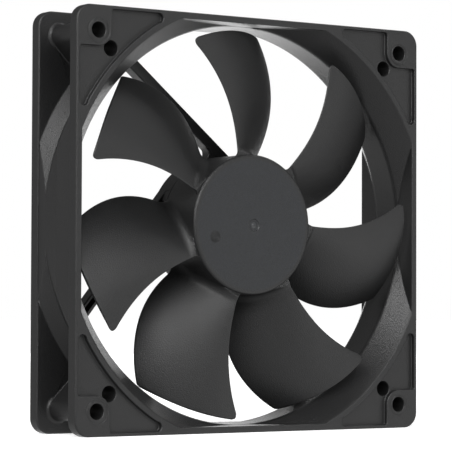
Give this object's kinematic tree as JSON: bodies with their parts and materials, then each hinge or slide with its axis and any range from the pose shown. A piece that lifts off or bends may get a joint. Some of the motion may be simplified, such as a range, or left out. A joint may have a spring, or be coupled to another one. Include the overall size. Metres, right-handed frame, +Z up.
{
  "type": "case fan",
  "caption": "Square-framed axial case fan: a bladed impeller on a brushless hub motor, held by swirled struts in a flanged plastic frame.",
  "frame": {"origin": "centre of the frame, on the fan's axis and midway between its front and rear faces", "axes": "-Y points out of the intake face, +Y out of the strut side, +Z up, +X to the right seen from the intake side"},
  "size_m": [0.119, 0.025, 0.119],
  "materials": {
    "frame_plastic": "fine matt moulded grain",
    "impeller_plastic": "fine matt moulded grain",
    "sintered_bronze": "dull, oil-soaked sintered metal",
    "lamination_steel": "stamped sheet with a thin varnish",
    "yoke_steel": "zinc-plated deep-drawn sheet",
    "shaft_steel": "ground and polished",
    "brass": "turned",
    "ferrite": "dark grey bonded ferrite",
    "nylon": "natural nylon",
    "board_laminate": "green solder mask",
    "chip_resin": "black moulding resin",
    "capacitor_ceramic": "tan ceramic",
    "copper_enamel": "enamelled copper wire",
    "label_film": "blank satin silver film"
  },
  "bodies": {
    "housing": {"frame": "frame_plastic", "bearing_sleeve": "sintered_bronze", "oil_seal_ring": "nylon", "sleeve_washer": "nylon", "thrust_pad": "nylon", "bearing_cap": "frame_plastic", "stator_core": "lamination_steel", "insulator_front": "nylon", "insulator_rear": "nylon", "winding_1": "copper_enamel", "winding_2": "copper_enamel", "winding_3": "copper_enamel", "winding_4": "copper_enamel", "terminal_pins": "brass", "circuit_board": "board_laminate", "hall_sensor": "chip_resin", "driver_chip": "chip_resin", "capacitor": "capacitor_ceramic", "polarity_diode": "chip_resin", "resistors": "chip_resin", "rear_label": "label_film"},
    "rotor": {"impeller": "impeller_plastic", "rotor_yoke": "yoke_steel", "ring_magnet": "ferrite", "shaft_boss": "brass", "shaft": "shaft_steel", "oil_slinger": "nylon", "shaft_clip": "nylon"}
  },
  "joints": [
    {"name": "rotor_spin", "type": "hinge", "parent": "housing", "child": "rotor", "pos_m": [0, 0, 0], "axis": [0, -1, 0], "continuous": true}
  ]
}
